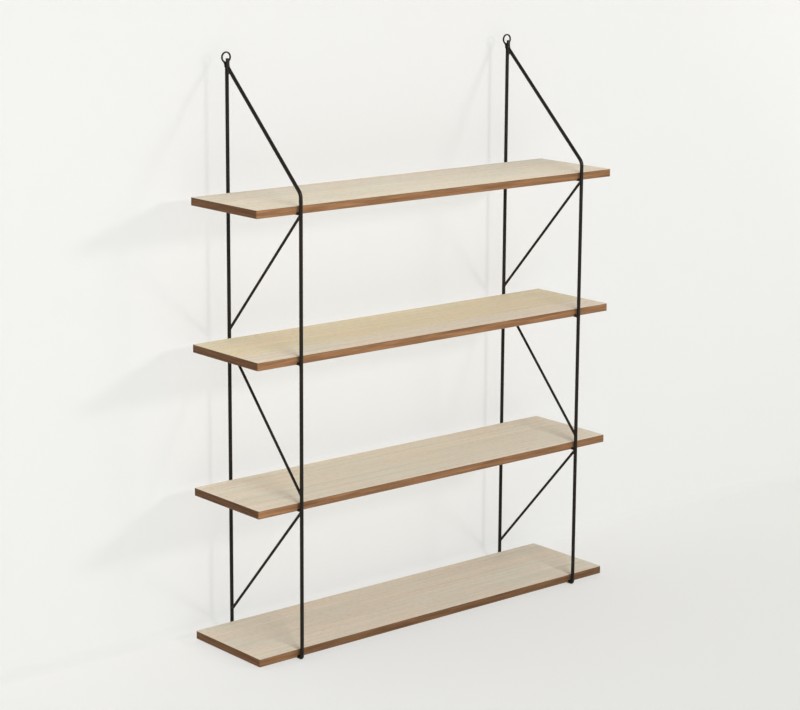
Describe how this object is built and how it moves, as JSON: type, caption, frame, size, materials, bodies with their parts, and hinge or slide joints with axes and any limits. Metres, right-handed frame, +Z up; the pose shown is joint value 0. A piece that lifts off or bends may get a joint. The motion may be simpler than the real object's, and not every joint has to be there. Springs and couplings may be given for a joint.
{
  "type": "shelving unit",
  "caption": "Open shelving unit of pale veneered boards with brown edges, carried by two side frames of thin black steel rod with diagonals and hanging eyes.",
  "frame": {"origin": "on the floor under the middle of the unit", "axes": "+X along the boards to the right as seen from the front, +Y from the front to the wall, +Z up"},
  "size_m": [1, 0.259, 1.26],
  "materials": {
    "oak_veneer": "matt",
    "chipboard": "raw",
    "brown_lipping": "matt",
    "black_lacquered_steel": "satin"
  },
  "bodies": {
    "root": {"bottom_board_top_veneer": "oak_veneer", "bottom_board_core": "chipboard", "bottom_board_front_lipping": "brown_lipping", "bottom_board_back_lipping": "brown_lipping", "bottom_board_left_lipping": "brown_lipping", "bottom_board_right_lipping": "brown_lipping", "bottom_board_underside_veneer": "oak_veneer", "lower_board_top_veneer": "oak_veneer", "lower_board_core": "chipboard", "lower_board_front_lipping": "brown_lipping", "lower_board_back_lipping": "brown_lipping", "lower_board_left_lipping": "brown_lipping", "lower_board_right_lipping": "brown_lipping", "lower_board_underside_veneer": "oak_veneer", "upper_board_top_veneer": "oak_veneer", "upper_board_core": "chipboard", "upper_board_front_lipping": "brown_lipping", "upper_board_back_lipping": "brown_lipping", "upper_board_left_lipping": "brown_lipping", "upper_board_right_lipping": "brown_lipping", "upper_board_underside_veneer": "oak_veneer", "top_board_top_veneer": "oak_veneer", "top_board_core": "chipboard", "top_board_front_lipping": "brown_lipping", "top_board_back_lipping": "brown_lipping", "top_board_left_lipping": "brown_lipping", "top_board_right_lipping": "brown_lipping", "top_board_underside_veneer": "oak_veneer", "left_frame_main_rod": "black_lacquered_steel", "left_frame_hanging_eye": "black_lacquered_steel", "left_frame_top_cross_rod": "black_lacquered_steel", "left_frame_top_diagonal": "black_lacquered_steel", "left_frame_upper_cross_rod": "black_lacquered_steel", "left_frame_upper_diagonal": "black_lacquered_steel", "left_frame_lower_cross_rod": "black_lacquered_steel", "left_frame_lower_diagonal": "black_lacquered_steel", "right_frame_main_rod": "black_lacquered_steel", "right_frame_hanging_eye": "black_lacquered_steel", "right_frame_top_cross_rod": "black_lacquered_steel", "right_frame_top_diagonal": "black_lacquered_steel", "right_frame_upper_cross_rod": "black_lacquered_steel", "right_frame_upper_diagonal": "black_lacquered_steel", "right_frame_lower_cross_rod": "black_lacquered_steel", "right_frame_lower_diagonal": "black_lacquered_steel"}
  },
  "joints": []
}
